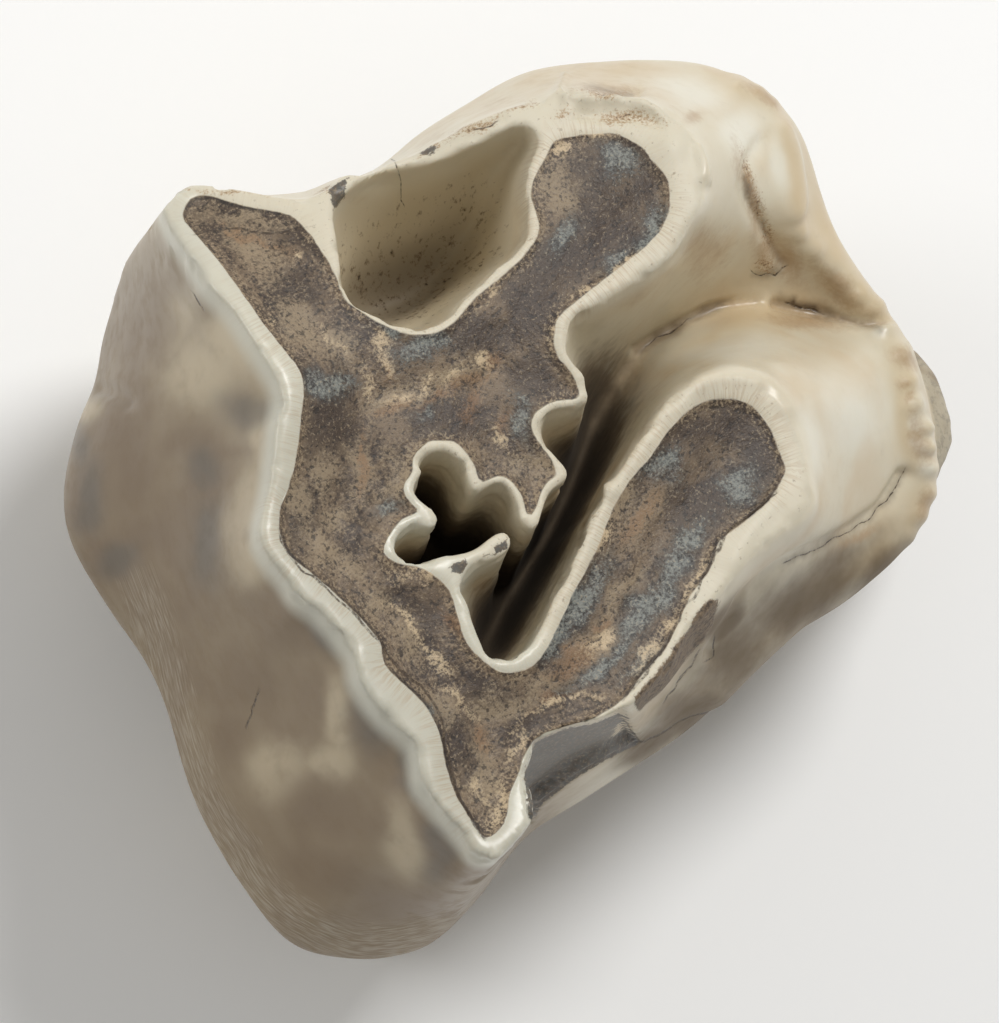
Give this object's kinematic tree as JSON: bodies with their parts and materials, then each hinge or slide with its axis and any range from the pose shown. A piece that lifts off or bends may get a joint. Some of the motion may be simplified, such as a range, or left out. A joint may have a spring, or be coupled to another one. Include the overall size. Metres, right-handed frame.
{
  "type": "fossil rhinoceros premolar",
  "caption": "Worn fossil upper premolar of a rhinoceros: lobed chewing face with deep pits and an enamel rim, beaded ledge and broken root stumps that it stands on.",
  "frame": {"origin": "middle of the tooth's plan, on the plane that the broken root ends stand on", "axes": "+X to the tongue side, +Y to the rear of the jaw, +Z out of the chewing face"},
  "size_m": [0.046, 0.0384, 0.0353],
  "materials": {
    "fossil_enamel": "ivory to taupe polished enamel round dark grey-brown dentine"
  },
  "bodies": {
    "root": {"tooth": "fossil_enamel"}
  },
  "joints": []
}
